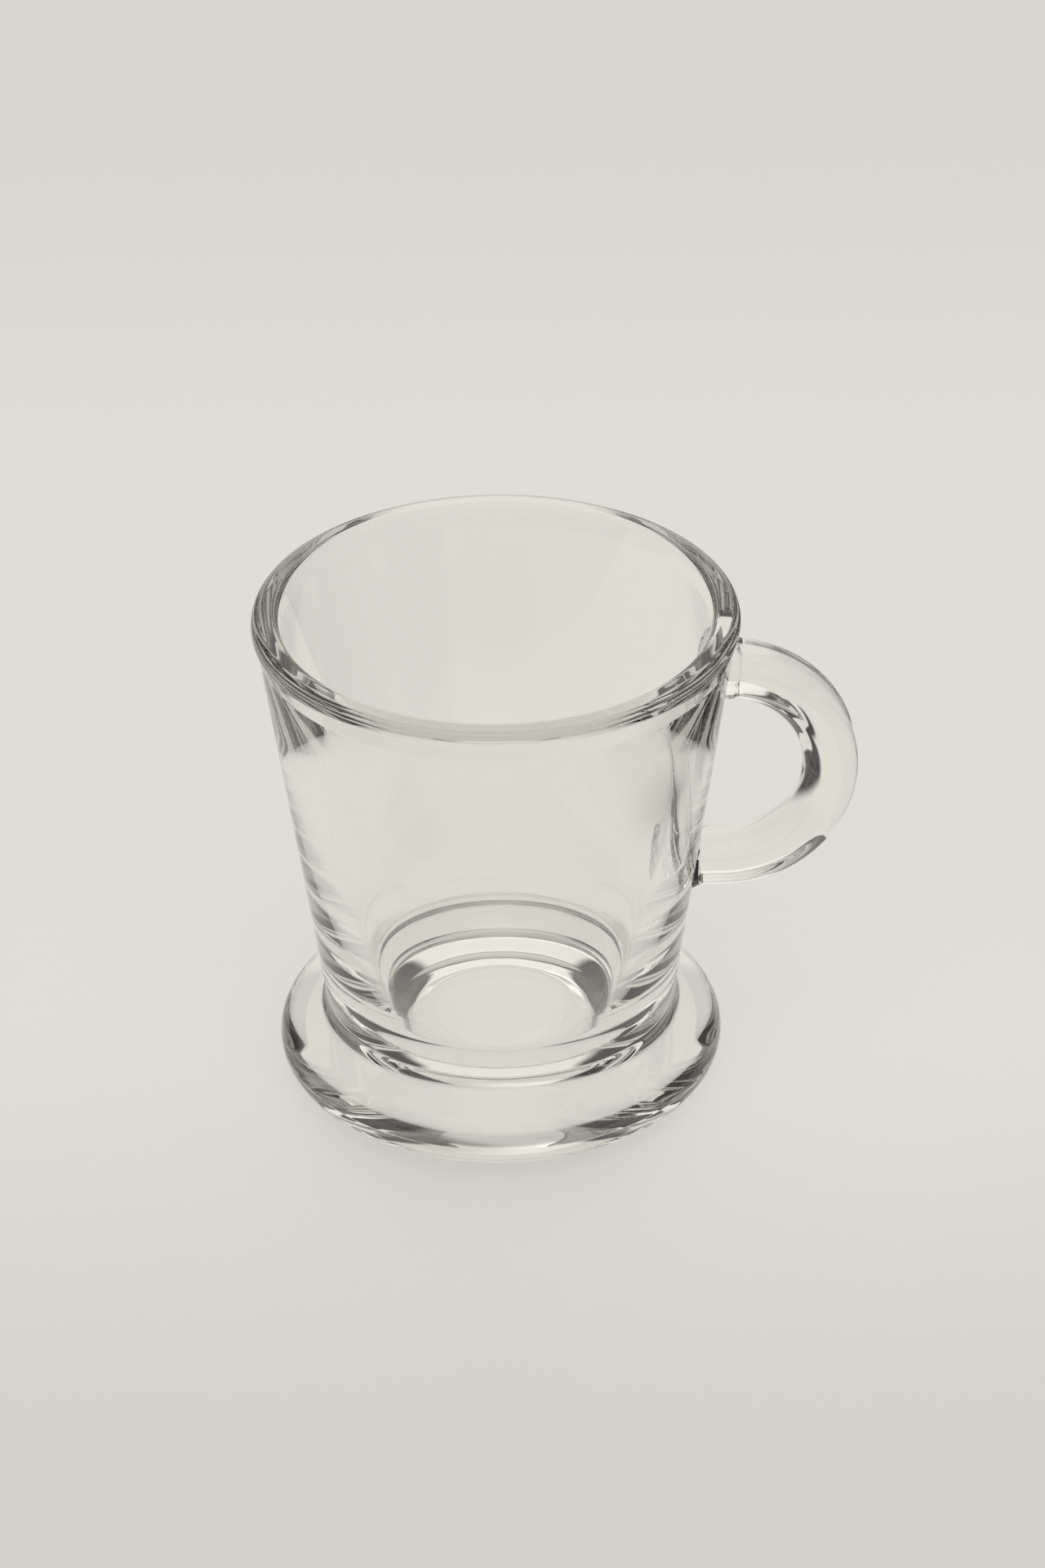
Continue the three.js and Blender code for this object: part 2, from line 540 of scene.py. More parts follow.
class ShapeTree:
    """Geometry tree that makes a piece from a drawn line and gives it its two materials."""

    def __init__(self, name: str, **sockets: str) -> None:
        """Builds the tree.

        Args:
            name: name of the tree.
            **sockets: kinds of the inputs by name, besides the line and the two materials.
        """
        self.tree = bpy.data.node_groups.new(name, "GeometryNodeTree")
        kinds = {"Line": "Geometry", **sockets, "Glass": "Material", "Joint": "Material"}
        for label, kind in kinds.items():
            self.tree.interface.new_socket(
                label, in_out="INPUT", socket_type=f"NodeSocket{kind}"
            )
        self.tree.interface.new_socket(
            "Body", in_out="OUTPUT", socket_type="NodeSocketGeometry"
        )
        graph = Graph(self.tree)
        given = graph.node("NodeGroupInput").outputs
        body, fused = self.shape(graph, given)
        for label, chosen in (("Glass", True), ("Joint", fused)):
            paint = graph.node("GeometryNodeSetMaterial")
            graph.feed(paint.inputs["Geometry"], body)
            graph.feed(paint.inputs["Selection"], chosen)
            graph.feed(paint.inputs["Material"], given[label])
            body = paint.outputs[0]
        graph.feed(graph.node("NodeGroupOutput").inputs[0], body)

    def shape(self, graph: Graph, given: bpy.types.bpy_prop_collection) -> tuple[Socket, Socket]:
        """Wires the nodes that make the mesh, and tells where it is fused to a neighbour."""
        raise NotImplementedError


class TurnedTree(ShapeTree):
    """Geometry tree that turns a drawn outline about the cup's axis."""

    def shape(self, graph: Graph, given: bpy.types.bpy_prop_collection) -> tuple[Socket, Socket]:
        """Wraps a grid of rows and steps round the axis.

        Args:
            graph: the tree to fill.
            given: the tree's inputs.

        Returns:
            The turned mesh, and its rows in the joint.
        """
        size = graph.node("GeometryNodeAttributeDomainSize", component="MESH")
        graph.feed(size.inputs[0], given["Line"])
        rows = size.outputs["Point Count"]
        grid = graph.node("GeometryNodeMeshGrid")
        graph.feed(grid.inputs["Vertices X"], graph.maths("ADD", given["Segments"], 1.0))
        graph.feed(grid.inputs["Vertices Y"], rows)
        share = graph.node("ShaderNodeSeparateXYZ")
        graph.feed(share.inputs[0], grid.outputs["UV Map"])
        last = graph.maths("SUBTRACT", rows, 1.0)
        row = graph.maths("ROUND", graph.maths("MULTIPLY", share.outputs["Y"], last))
        turn = graph.maths("MULTIPLY", share.outputs["X"], math.tau)
        drawn = graph.node("GeometryNodeSampleIndex", data_type="FLOAT_VECTOR", domain="POINT")
        graph.feed(drawn.inputs["Geometry"], given["Line"])
        graph.feed(drawn.inputs["Value"], graph.node("GeometryNodeInputPosition").outputs[0])
        graph.feed(drawn.inputs["Index"], row)
        spot = graph.node("ShaderNodeSeparateXYZ")
        graph.feed(spot.inputs[0], drawn.outputs[0])
        wrapped = graph.node("ShaderNodeCombineXYZ")
        for axis, wave in (("X", "COSINE"), ("Y", "SINE")):
            part = graph.maths("MULTIPLY", spot.outputs["X"], graph.maths(wave, turn))
            graph.feed(wrapped.inputs[axis], part)
        graph.feed(wrapped.inputs["Z"], spot.outputs["Z"])
        store = graph.node("GeometryNodeStoreNamedAttribute", data_type="FLOAT", domain="POINT")
        graph.feed(store.inputs["Geometry"], grid.outputs["Mesh"])
        graph.feed(store.inputs["Name"], "row")
        graph.feed(store.inputs["Value"], row)
        place = graph.node("GeometryNodeSetPosition")
        graph.feed(place.inputs["Geometry"], store.outputs[0])
        graph.feed(place.inputs["Position"], wrapped.outputs[0])
        merge = graph.node("GeometryNodeMergeByDistance")
        graph.feed(merge.inputs["Geometry"], place.outputs[0])
        graph.feed(merge.inputs["Distance"], MERGE_REACH)
        stored = graph.node("GeometryNodeInputNamedAttribute", data_type="FLOAT")
        graph.feed(stored.inputs["Name"], "row")
        level = stored.outputs["Attribute"]
        after = graph.maths("GREATER_THAN", level, given["Joint From"])
        before = graph.maths("LESS_THAN", level, given["Joint To"])
        return merge.outputs[0], graph.maths("MULTIPLY", after, before)


class SweptTree(ShapeTree):
    """Geometry tree that sweeps a section along a drawn path."""

    def shape(self, graph: Graph, given: bpy.types.bpy_prop_collection) -> tuple[Socket, Socket]:
        """Lets the section follow the path, and caps it at both ends.

        Args:
            graph: the tree to fill.
            given: the tree's inputs.

        Returns:
            The swept mesh, and its caps.
        """
        section = graph.node("GeometryNodeObjectInfo")
        graph.feed(section.inputs["Object"], given["Section"])
        edge = graph.node("GeometryNodeMeshToCurve")
        graph.feed(edge.inputs[0], section.outputs["Geometry"])
        path = graph.node("GeometryNodeMeshToCurve")
        graph.feed(path.inputs[0], given["Line"])
        flare = graph.node("GeometryNodeInputNamedAttribute", data_type="FLOAT")
        graph.feed(flare.inputs["Name"], "flare")
        tube = graph.node("GeometryNodeCurveToMesh")
        graph.feed(tube.inputs["Curve"], path.outputs[0])
        graph.feed(tube.inputs["Profile Curve"], edge.outputs[0])
        graph.feed(tube.inputs["Scale"], flare.outputs["Attribute"])
        graph.feed(tube.inputs["Fill Caps"], True)
        sides = graph.node("GeometryNodeInputMeshFaceNeighbors")
        caps = graph.maths("GREATER_THAN", sides.outputs["Vertex Count"], SIDE_CORNERS)
        return tube.outputs[0], caps


@dataclass(frozen=True)
class TurnedPiece:
    """A piece turned about the cup's axis, part skin and part joint."""

    node: str
    slot: Slot
    joint_end: JointEnd
    segments: int = 288

    def make(
        self,
        tree: TurnedTree,
        skin: Outline,
        contact: Outline,
        glass: bpy.types.Material,
        joint: bpy.types.Material,
    ) -> bpy.types.Object:
        """Turns the outline and settles the piece in the frame.

        Args:
            tree: geometry tree that turns it.
            skin: outline of the free surface.
            contact: outline of the fused surface.
            glass: material of the skin.
            joint: material of the fused surface.

        Returns:
            The finished piece.
        """
        free, fused = skin.points(), contact.points()
        if self.joint_end is JointEnd.FIRST:
            drawn = fused + free[1:]
            rows = (0, len(fused) - 1)
        else:
            drawn = free + fused[1:]
            rows = (len(free) - 1, len(drawn) - 1)
        points = [Vector((max(0.0, point.x), 0.0, point.y)) * MM for point in drawn]
        obj = line_object(f"glass_{self.node}", points)
        inputs = {"Segments": self.segments, "Glass": glass, "Joint": joint}
        finish_shape(obj, tree.tree, inputs | {"Joint From": rows[0], "Joint To": rows[1]})
        if "row" in obj.data.attributes:
            obj.data.attributes.remove(obj.data.attributes["row"])
        settle(obj)
        return place_in_frame(obj, self.node)


def place_in_frame(obj: bpy.types.Object, node: str) -> bpy.types.Object:
    """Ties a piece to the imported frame.

    Args:
        obj: finished piece.
        node: CAD node that it replaces.

    Returns:
        The same piece.
    """
    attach(obj, "root")
    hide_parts(node)
    return obj


@dataclass(frozen=True)
class Bowl:
    """The tapered bowl: thinner at the lip, thicker at the floor, with a slight bead at the rim."""

    height: float = 67.0
    rim_radius: float = 31.05
    band_height: float = 65.2
    swell_height: float = 62.8
    swell_ease: float = 1.5
    lip_outer_ease: float = 1.3
    lip_inner_ease: float = 1.3
    wall_thickness: float = 4.45
    floor_gain: float = 2.45
    floor_power: float = 4.0
    lip_loss: float = 1.3
    lip_start: float = 48.0
    lip_power: float = 2.0
    lip_share: float = 1.4
    wall_steps: int = 68
    floor_height: float = 8.29
    floor_ease: float = 8.48
    floor_dish: float = 0.39

    def inside(self, wall: WallLine, height: float, ease: float = 0.0) -> Corner:
        """Gives a corner of the inside, with the wall's thickness at that height.

        Args:
            wall: the outer wall.
            height: height above the table.
            ease: radius of the corner's arc.

        Returns:
            The corner.
        """
        depth = (self.height - height) / (self.height - self.floor_height)
        rise = max(0.0, height - self.lip_start) / (self.height - self.lip_start)
        gain = self.floor_gain * depth**self.floor_power - self.lip_loss * rise**self.lip_power
        return Corner(wall.radius(height) - self.wall_thickness - gain, height, ease)

    def skin(self, wall: WallLine, start: float) -> Outline:
        """Draws the free surface, from the foot up the outside, over the lip and down the inside.

        Args:
            wall: the outer wall.
            start: height where the wall leaves the foot.

        Returns:
            The outline of the free surface.
        """
        low = self.floor_height + self.floor_ease
        high = self.height - self.lip_share * self.lip_inner_ease
        count = self.wall_steps
        steps = [high + (low - high) * step / count for step in range(count + 1)]
        return Outline(
            (
                Corner(wall.radius(start), start),
                Corner(wall.radius(self.swell_height), self.swell_height, self.swell_ease),
                Corner(self.rim_radius, self.band_height, self.swell_ease),
                Corner(self.rim_radius, self.height, self.lip_outer_ease),
                self.inside(wall, self.height, self.lip_inner_ease),
                *(self.inside(wall, step) for step in steps),
                self.inside(wall, self.floor_height, self.floor_ease),
                Corner(0.0, self.floor_height - self.floor_dish),
            )
        )

    def outer_radius(self, wall: WallLine, height: float) -> float:
        """Gives the outside's radius, with the swelling rim.

        Args:
            wall: the outer wall.
            height: height above the table.

        Returns:
            The radius there.
        """
        straight = wall.radius(height)
        start = wall.radius(self.swell_height)
        share = (height - self.swell_height) / (self.band_height - self.swell_height)
        return min(self.rim_radius, max(straight, start + share * (self.rim_radius - start)))


@dataclass(frozen=True)
class Foot:
    """The wide round foot, recessed underneath inside the ring that it stands on."""

    radius: float = 29.1
    edge_height: float = 6.2
    low_ease: float = 3.86
    top_ease: float = 3.97
    recess_radius: float = 10.0
    recess_depth: float = 3.78
    recess_ease: float = 6.6
    ring_radius: float = 23.8
    ring_ease: float = 0.8
    neck_height: float = 9.47
    neck_fillet: float = 2.17
    seat_height: float = 5.8

    def top(self, wall: WallLine) -> float:
        """Finds where the neck's fillet runs out on the bowl's wall.

        Args:
            wall: the bowl's outer wall.

        Returns:
            The height there.
        """
        neck = Vector((wall.radius(self.neck_height), self.neck_height))
        down = (Vector((self.radius, self.edge_height)) - neck).normalized()
        up = Vector((wall.slope, 1.0)).normalized()
        return self.neck_height + up.y * self.neck_fillet / math.tan(down.angle(up) / 2)

    def contact(self, wall: WallLine) -> tuple[Corner, ...]:
        """Follows the surface where the bowl is fused in, from the axis out and up the wall.

        Args:
            wall: the bowl's outer wall.

        Returns:
            The contact's corners, all sharp.
        """
        top = self.top(wall)
        return (
            Corner(0.0, self.seat_height),
            Corner(wall.radius(self.seat_height), self.seat_height),
            Corner(wall.radius(top), top),
        )

    def skin(self, wall: WallLine) -> Outline:
        """Draws the free surface, from the centre underneath, round the edge and up to the bowl.

        Args:
            wall: the bowl's outer wall.

        Returns:
            The outline of the free surface.
        """
        top = self.top(wall)
        return Outline(
            (
                Corner(0.0, self.recess_depth),
                Corner(self.recess_radius, self.recess_depth, self.recess_ease),
                Corner(self.ring_radius, 0.0, self.ring_ease),
                Corner(self.radius, 0.0, self.low_ease),
                Corner(self.radius, self.edge_height, self.top_ease),
                Corner(wall.radius(self.neck_height), self.neck_height, self.neck_fillet),
                Corner(wall.radius(top), top),
            )
        )


@dataclass(frozen=True)
class Handle:
    """The ring handle, swept round and seated on the bowl's wall at both ends."""

    ring: RingSection
    arc_steps: int = 270
    root_depth: float = 2.6
    root_step: float = 0.25
    wall_gap: float = 0.15
    seat_rounds: int = 20

    def path(self, wall: WallLine, bowl: Bowl) -> list[tuple[Vector, float]]:
        """Follows the ring from inside the wall at the top to inside the wall at the bottom.

        Args:
            wall: the bowl's outer wall.
            bowl: the bowl that the ring stands on.

        Returns:
            Points of the path with the section's scale at each.
        """
        ring = self.ring
        centre = Vector((ring.centre_out, ring.centre_up))
        high, low = ring.centre_up + ring.radius, ring.centre_up - ring.radius
        spots = [Vector((wall.radius(high) - self.root_depth, high))]
        for i in range(self.arc_steps + 1):
            angle = math.pi / 2 - math.pi * i / self.arc_steps
            spots.append(centre + ring.radius * Vector((math.cos(angle), math.sin(angle))))
        reach = centre.x
        while reach > wall.radius(low) - self.root_depth:
            reach -= self.root_step
            spots.append(Vector((reach, low)))
        return self.trimmed(spots, wall, bowl)

    def trimmed(
        self, spots: list[Vector], wall: WallLine, bowl: Bowl
    ) -> list[tuple[Vector, float]]:
        """Drops the points between each end and the first section that clears the wall.

        Args:
            spots: points of the whole path.
            wall: the bowl's outer wall.
            bowl: the bowl that the ring stands on.

        Returns:
            The kept points, with the section's scale at each.
        """
        ring = self.ring
        kept: list[tuple[Vector, float]] = []
        for i, spot in enumerate(spots):
            edge = spot.y + math.copysign(ring.thickness / 2, spot.y - ring.centre_up)
            clear = spot.x - bowl.outer_radius(wall, edge)
            share = max(0.0, min(1.0, 1.0 - clear / ring.flare_length))
            scale = 1.0 + (ring.root_flare - 1.0) * share * share
            if clear > self.wall_gap or i in (0, len(spots) - 1):
                kept.append((spot, scale))
        return kept

    def seated(self, obj: bpy.types.Object, wall: WallLine, bowl: Bowl) -> None:
        """Moves the end sections along the ring until they lie on the bowl's wall.

        Args:
            obj: swept handle.
            wall: the bowl's outer wall.
            bowl: the bowl that the ring stands on.
        """
        ring = self.ring
        for vertex in obj.data.vertices:
            x, y, z = vertex.co / MM
            if math.hypot(x, y) > bowl.outer_radius(wall, z):
                continue
            arm = z - ring.centre_up
            for _ in range(self.seat_rounds):
                x = math.sqrt(bowl.outer_radius(wall, z) ** 2 - y * y)
                past = max(0.0, x - ring.centre_out)
                z = ring.centre_up + math.copysign(math.sqrt(arm * arm - past * past), arm)
            vertex.co = Vector((x, y, z)) * MM

    def make(
        self,
        tree: SweptTree,
        wall: WallLine,
        bowl: Bowl,
        glass: bpy.types.Material,
        joint: bpy.types.Material,
    ) -> bpy.types.Object:
        """Sweeps the section and settles the handle in the frame.

        Args:
            tree: geometry tree that sweeps it.
            wall: the bowl's outer wall.
            bowl: the bowl that the ring stands on.
            glass: material of the handle.
            joint: material of its fused ends.

        Returns:
            The finished piece.
        """
        path = self.path(wall, bowl)
        spots = [Vector((spot.x, 0.0, spot.y)) * MM for spot, _ in path]
        obj = line_object("glass_handle", spots)
        flare = obj.data.attributes.new("flare", "FLOAT", "POINT")
        flare.data.foreach_set("value", [scale for _, scale in path])
        outline = self.ring.outline().points()[::-1]
        drawn = [Vector((point.x, -point.y, 0.0)) * MM for point in outline]
        section = line_object("handle_section", drawn, closed=True)
        finish_shape(obj, tree.tree, {"Section": section, "Glass": glass, "Joint": joint})
        bpy.data.objects.remove(section)
        self.seated(obj, wall, bowl)
        settle(obj)
        return place_in_frame(obj, "handle")


@dataclass(frozen=True)
class Cup:
    """The whole cup, put together from its three pieces."""

    wall: WallLine
    bowl: Bowl
    foot: Foot
    handle: Handle

    def make(self) -> list[bpy.types.Object]:
        """Makes every piece.

        Returns:
            The finished pieces.
        """
        rows = {"Segments": "Int", "Joint From": "Int", "Joint To": "Int"}
        turned = TurnedTree("turned_glass", **rows)
        swept = SweptTree("swept_glass", Section="Object")
        joint = JointFinish().build()
        contact = self.foot.contact(self.wall)
        bowl_glass = GlassFinish(Slot.BOWL.value).build(self.handle.ring, self.wall)
        foot_glass = GlassFinish(Slot.FOOT.value).build()
        handle_glass = GlassFinish(Slot.HANDLE.value).build()
        bowl = TurnedPiece("bowl", Slot.BOWL, JointEnd.FIRST)
        foot = TurnedPiece("foot", Slot.FOOT, JointEnd.LAST)
        bowl_skin = self.bowl.skin(self.wall, contact[-1].up)
        foot_skin = self.foot.skin(self.wall)
        return [
            bowl.make(turned, bowl_skin, Outline(contact), bowl_glass, joint),
            foot.make(turned, foot_skin, Outline(contact[::-1]), foot_glass, joint),
            self.handle.make(swept, self.wall, self.bowl, handle_glass, joint),
        ]


@dataclass(frozen=True)
class Panel:
    """One broad soft light: its middle, its reach and its soft edges in degrees, and its level."""

    azimuth: float
    half_width: float
    side_soft: float
    low: float
    high: float
    end_soft: float
    level: float

    def glow(self, graph: Graph, around: Socket, up: Socket) -> Socket:
        """Gives the panel's light in a direction.

        Args:
            graph: tree of the world.
            around: direction round the cup, in degrees.
            up: direction above the table, in degrees.

        Returns:
            The level's socket.
        """
        turn = graph.maths("WRAP", graph.maths("SUBTRACT", around, self.azimuth), 180.0, -180.0)
        side, end = self.side_soft / 2, self.end_soft / 2
        off = graph.maths("ABSOLUTE", turn)
        inner, outer = self.half_width - side, self.half_width + side
        across = graph.ramp(off, inner, outer, self.level, 0.0)
        below = graph.ramp(up, self.low - end, self.low + end)
        above = graph.ramp(up, self.high - end, self.high + end, 1.0, 0.0)
        return graph.maths("MULTIPLY", across, graph.maths("MULTIPLY", below, above))


@dataclass(frozen=True)
class Studio:
    """Plain soft light: broad pale panels above, behind and in front of the cup, with dim sides."""

    turn: float
    tint: tuple[float, float, float] = (1.0, 0.97, 0.902)
    backdrop: float = 0.74
    dim: float = 0.07
    panels: tuple[Panel, ...] = (
        Panel(90.0, 22.0, 6.0, -14.0, 58.0, 10.0, 0.92),
        Panel(264.0, 52.0, 30.0, 9.3, 75.0, 12.0, 0.52),
        Panel(40.0, 55.0, 24.0, 40.0, 64.0, 10.0, 0.4),
        Panel(0.0, 200.0, 10.0, 63.0, 120.0, 14.0, 0.58),
    )

    def build(self) -> None:
        """Makes the world."""
        world = bpy.data.worlds.new("studio")
        bpy.context.scene.world = world
        world.use_nodes = True
        world.node_tree.nodes.clear()
        graph = Graph(world.node_tree)
        parts = graph.node("ShaderNodeSeparateXYZ")
        graph.feed(parts.inputs[0], graph.node("ShaderNodeTexCoord").outputs["Generated"])
        around = graph.maths("ARCTAN2", parts.outputs["Y"], parts.outputs["X"])
        around = graph.maths("SUBTRACT", graph.maths("DEGREES", around), self.turn)
        up = graph.maths("DEGREES", graph.maths("ARCSINE", parts.outputs["Z"]))
        level: Value = self.dim
        for panel in self.panels:
            level = graph.maths("ADD", level, panel.glow(graph, around, up))
        path = graph.node("ShaderNodeLightPath").outputs
        thick = graph.maths("GREATER_THAN", path["Transmission Depth"], THIN_GLASS)
        unturned = graph.maths("LESS_THAN", path["Glossy Depth"], TURNED_ONCE)
        straight = graph.maths("MULTIPLY", thick, unturned)
        seen = graph.maths("MAXIMUM", path["Is Camera Ray"], straight)
        plain = graph.maths("MULTIPLY", seen, self.backdrop)
        hidden = graph.maths("SUBTRACT", 1.0, seen)
        strength = graph.maths("MULTIPLY_ADD", hidden, level, plain)
        shader = graph.node("ShaderNodeBackground")
        graph.feed(shader.inputs["Color"], (*self.tint, 1.0))
        graph.feed(shader.inputs["Strength"], strength)
        graph.feed(graph.node("ShaderNodeOutputWorld").inputs["Surface"], shader.outputs[0])


@dataclass(frozen=True)
class Fall:
    """A soft fall of the floor's painted level in one direction, used for painted shade and for the
    edges of painted light: 0 degrees is right and 90 is away.
    """

    along: float
    start: float
    end: float
    rest: float

    def level(self, graph: Graph, place: Socket) -> Socket:
        """Gives the share of the level that is left.

        Args:
            graph: tree of the material.
            place: place on the table, in metres.

        Returns:
            One before the fall and the rest after it.
        """
        dot = graph.node("ShaderNodeVectorMath", operation="DOT_PRODUCT")
        graph.feed(dot.inputs[0], place)
        angle = math.radians(self.along)
        graph.feed(dot.inputs[1], (math.cos(angle), math.sin(angle), 0.0))
        return graph.ramp(dot.outputs["Value"], self.start * MM, self.end * MM, 1.0, self.rest)


@dataclass(frozen=True)
class Floor:
    """The pale table top under the cup, with a painted pool of light that dims beyond it only where
    light has turned in the glass.
    """

    turn: float
    half_size: float = 1500.0
    gap: float = 0.1
    paint: float = 0.86
    tint: tuple[float, float, float] = (1.0, 0.97, 0.902)
    glow: float = 0.35
    # Painted shade: the floor's camera glow is darker towards the front and the far back.
    painted_shade_falls: tuple[Fall, ...] = (
        Fall(270.0, -10.0, 90.0, 0.77),
        Fall(90.0, 150.0, 290.0, 0.86),
    )
    # Painted pool of light: what the glass shows of the floor is bright round the cup and dims
    # beyond it.
    painted_pool_level: float = 0.765
    # Painted shade: what the glass shows of the floor is darker towards the front.
    painted_front_shade: Fall = Fall(270.0, -10.0, 60.0, 0.9)
    painted_pool_falls: tuple[Fall, ...] = (
        Fall(0.0, 60.0, 74.0, 0.08),
        Fall(270.0, 127.0, 170.0, 0.1),
        Fall(90.0, 274.0, 412.0, 0.35),
    )
    # Painted shade: a dark corner of the floor at the right and behind, seen only where the glass
    # is thin.
    painted_corner_falls: tuple[Fall, ...] = (
        Fall(0.0, 60.0, 74.0, 0.0),
        Fall(104.0, -4.0, 6.0, 0.0),
        Fall(332.0, -4.0, 6.0, 0.0),
    )
    painted_corner_level: float = 0.06
    painted_corner_near: tuple[float, float] = (148.0, 162.0)
    painted_corner_far: tuple[float, float] = (282.0, 300.0)

    def build(self) -> None:
        """Makes the floor."""
        reach, level = self.half_size * MM, -self.gap * MM
        corners = [(x * reach, y * reach, level) for x, y in ((-1, -1), (1, -1), (1, 1), (-1, 1))]
        mesh = bpy.data.meshes.new("floor")
        mesh.from_pydata(corners, [], [(0, 1, 2, 3)])
        obj = bpy.data.objects.new("floor", mesh)
        bpy.context.scene.collection.objects.link(obj)
        mesh.materials.append(self.finish())

    def place(self, graph: Graph) -> Socket:
        """Finds the place on the table, turned so that 90 degrees points away from the camera.

        Args:
            graph: tree of the material.

        Returns:
            The place's socket, in metres.
        """
        turned = graph.node("ShaderNodeVectorRotate", rotation_type="Z_AXIS")
        graph.feed(turned.inputs["Vector"], graph.node("ShaderNodeTexCoord").outputs["Object"])
        graph.feed(turned.inputs["Angle"], math.radians(-self.turn))
        return turned.outputs[0]

    def lit(self, graph: Graph, level: Value) -> Socket:
        """Makes a light of the floor's own.

        Args:
            graph: tree of the material.
            level: how bright it is.

        Returns:
            The light's socket.
        """
        light = graph.node("ShaderNodeEmission")
        graph.feed(light.inputs["Color"], (*self.tint, 1.0))
        graph.feed(light.inputs["Strength"], level)
        return light.outputs[0]

    def through(self, graph: Graph, place: Socket, path: bpy.types.bpy_prop_collection) -> Socket:
        """Gives the level that the glass shows.

        Straight through, it is the plain floor, with a painted dark corner of shade where the glass
        is thin.
        Where light has turned inside the glass, it is a painted pool of light that dims beyond the
        cup.

        Args:
            graph: tree of the material.
            place: place on the table.
            path: outputs that tell how the light came here.

        Returns:
            The level's socket.
        """
        # Painted shade towards the front, on the level that the glass shows.
        near = graph.maths("MULTIPLY", self.painted_front_shade.level(graph, place), self.painted_pool_level)
        # Painted pool of light that dims beyond the cup, for light that has turned in the glass.
        painted_pool: Value = 1.0
        for fall in self.painted_pool_falls:
            painted_pool = graph.maths("MULTIPLY", painted_pool, fall.level(graph, place))
        # Painted shade: a dark corner of the floor, only where the glass is thin.
        corner: Value = 1.0 - self.painted_corner_level
        for fall in self.painted_corner_falls:
            fallen = graph.maths("SUBTRACT", 1.0, fall.level(graph, place))
            corner = graph.maths("MULTIPLY", corner, fallen)
        reach = graph.node("ShaderNodeVectorMath", operation="LENGTH")
        graph.feed(reach.inputs[0], place)
        within = graph.ramp(reach.outputs["Value"], *(e * MM for e in self.painted_corner_near), 1.0, 0.0)
        beyond = graph.ramp(reach.outputs["Value"], *(e * MM for e in self.painted_corner_far))
        corner = graph.maths("MULTIPLY", corner, graph.maths("ADD", within, beyond))
        thin = graph.maths("LESS_THAN", path["Transmission Depth"], THIN_GLASS)
        plain = graph.maths("SUBTRACT", 1.0, graph.maths("MULTIPLY", corner, thin))
        turned = graph.maths("GREATER_THAN", path["Glossy Depth"], TURNED_ONCE)
        share = graph.maths("MULTIPLY_ADD", graph.maths("SUBTRACT", painted_pool, plain), turned, plain)
        return graph.maths("MULTIPLY", near, share)

    def finish(self) -> bpy.types.Material:
        """Makes the floor's material: matt and pale, with a glow that only the camera sees and that
        has painted shade, and with painted light and shade where the glass shows it.

        Returns:
            The material.
        """
        material = bpy.data.materials.new("pale_floor")
        material.use_nodes = True
        material.node_tree.nodes.clear()
        graph = Graph(material.node_tree)
        path = graph.node("ShaderNodeLightPath").outputs
        place = self.place(graph)
        matt = graph.node("ShaderNodeBsdfDiffuse")
        graph.feed(matt.inputs["Color"], (self.paint, self.paint, self.paint, 1.0))
        glow = graph.maths("MULTIPLY", path["Is Camera Ray"], self.glow)
        # Painted shade: the glow falls off towards the front and the far back.
        for fall in self.painted_shade_falls:
            glow = graph.maths("MULTIPLY", glow, fall.level(graph, place))
        plain = graph.node("ShaderNodeAddShader")
        graph.feed(plain.inputs[0], matt.outputs[0])
        graph.feed(plain.inputs[1], self.lit(graph, glow))
        both = graph.node("ShaderNodeMixShader")
        by_glass = graph.maths("MAXIMUM", path["Is Glossy Ray"], path["Is Transmission Ray"])
        graph.feed(both.inputs[0], by_glass)
        graph.feed(both.inputs[1], plain.outputs[0])
        graph.feed(both.inputs[2], self.lit(graph, self.through(graph, place, path)))
        graph.feed(graph.node("ShaderNodeOutputMaterial").inputs["Surface"], both.outputs[0])
        return material


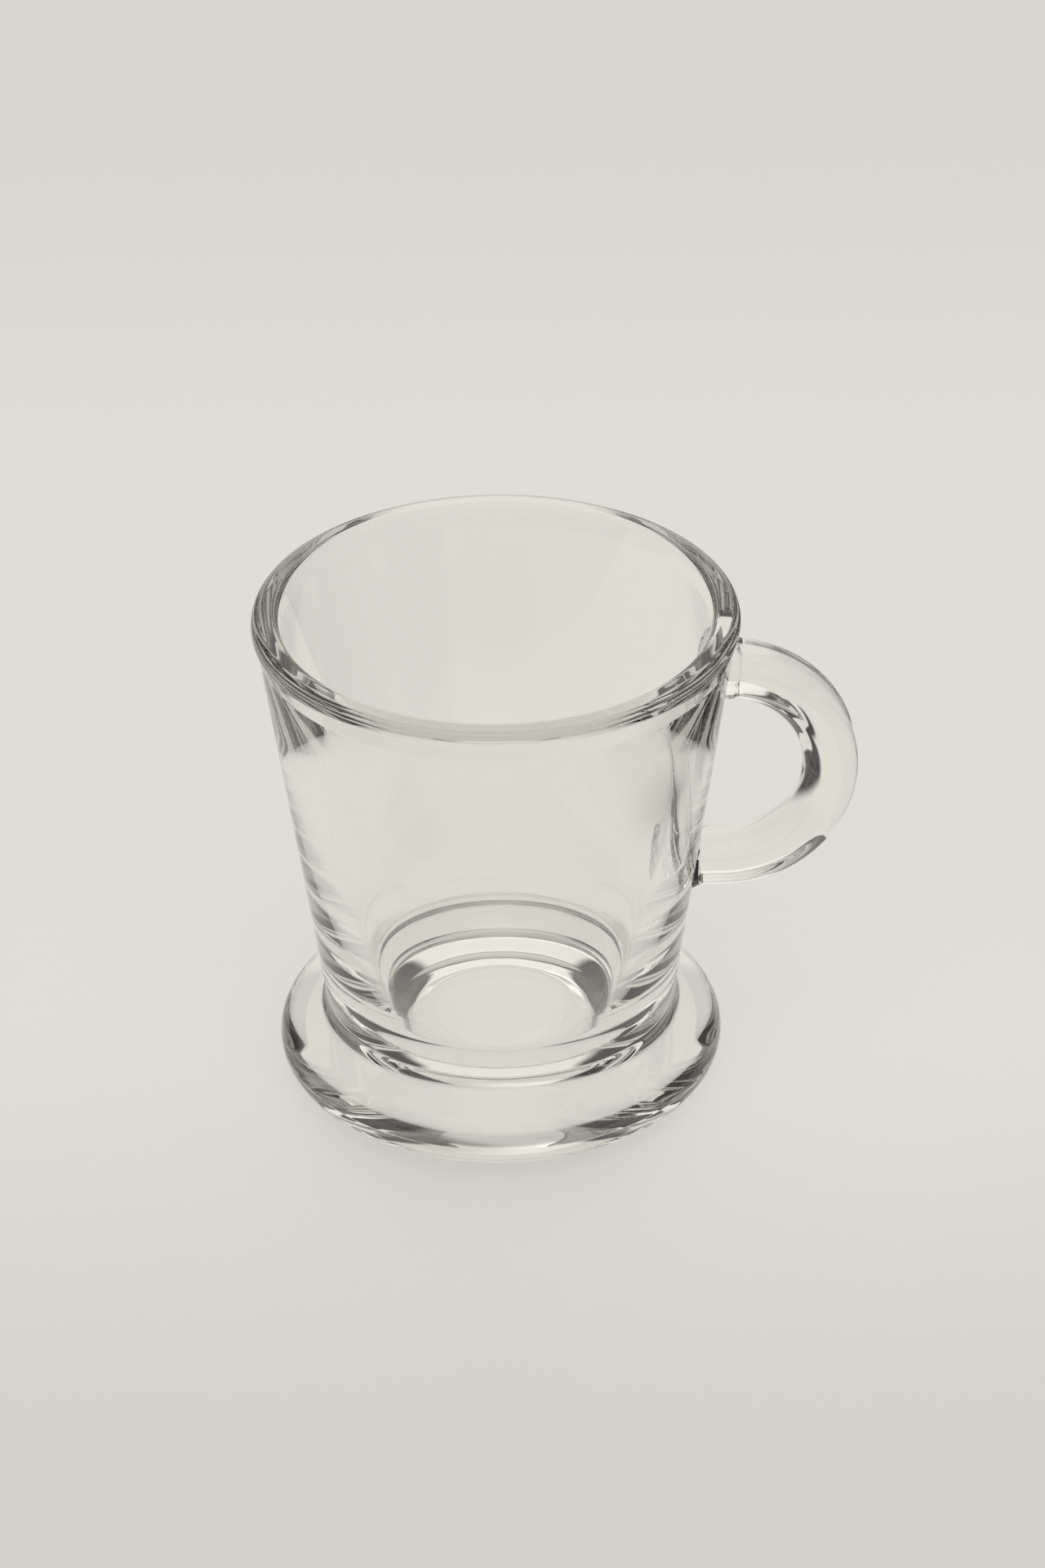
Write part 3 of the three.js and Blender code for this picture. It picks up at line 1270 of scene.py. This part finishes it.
@dataclass(frozen=True)
class PhotoCamera:
    """The photograph's camera, as a long lens that looks down at the cup."""

    turn: float = -1.98
    tilt: float = 31.61
    roll: float = -0.61
    aside: float = -2.8
    below: float = 34.87
    distance: float = 758.71
    focal_share: float = 7000 / 1920
    sensor: float = 36.0

    def build(self) -> None:
        """Makes the scene's camera."""
        tilt, roll = math.radians(self.tilt), math.radians(self.roll)
        right = Vector((1.0, 0.0, 0.0))
        up = Vector((0.0, math.sin(tilt), math.cos(tilt)))
        ahead = Vector((0.0, math.cos(tilt), -math.sin(tilt)))
        across = right * math.cos(roll) + up * math.sin(roll)
        down = right * math.sin(roll) - up * math.cos(roll)
        eye = -(across * self.aside + down * self.below + ahead * self.distance) * MM
        aim = Matrix((across, -down, -ahead)).transposed().to_4x4()
        data = bpy.data.cameras.new("camera")
        data.sensor_fit = "VERTICAL"
        data.sensor_height = self.sensor
        data.lens = self.sensor * self.focal_share
        camera = bpy.data.objects.new("camera", data)
        bpy.context.scene.collection.objects.link(camera)
        round_cup = Matrix.Rotation(math.radians(self.turn), 4, "Z")
        camera.matrix_world = round_cup @ Matrix.Translation(eye) @ aim
        bpy.context.scene.camera = camera


def triangles(piece: bpy.types.Object) -> int:
    """Counts a piece's triangles."""
    return sum(len(face.vertices) - 2 for face in piece.data.polygons)


def deepen_light_paths(depth: int = 20) -> None:
    """Lets light turn often enough inside the glass that no path ends in black.

    Args:
        depth: number of turns.
    """
    cycles = bpy.context.scene.cycles
    cycles.max_bounces = depth
    cycles.glossy_bounces = depth
    cycles.transmission_bounces = depth
    cycles.transparent_max_bounces = depth


def main() -> None:
    """Builds the cup, the studio and the camera."""
    logging.basicConfig(level=logging.INFO, format="%(name)s: %(message)s")
    bpy.context.scene.view_settings.view_transform = "Standard"
    deepen_light_paths()
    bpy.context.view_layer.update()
    camera = PhotoCamera()
    camera.build()
    Studio(camera.turn).build()
    Floor(camera.turn).build()
    cup = Cup(WallLine(), Bowl(), Foot(), Handle(RingSection()))
    for piece in cup.make():
        slots = len(piece.data.materials)
        LOG.info("%s: %d triangles, %d slots", piece.name, triangles(piece), slots)


if __name__ == "__main__":
    main()
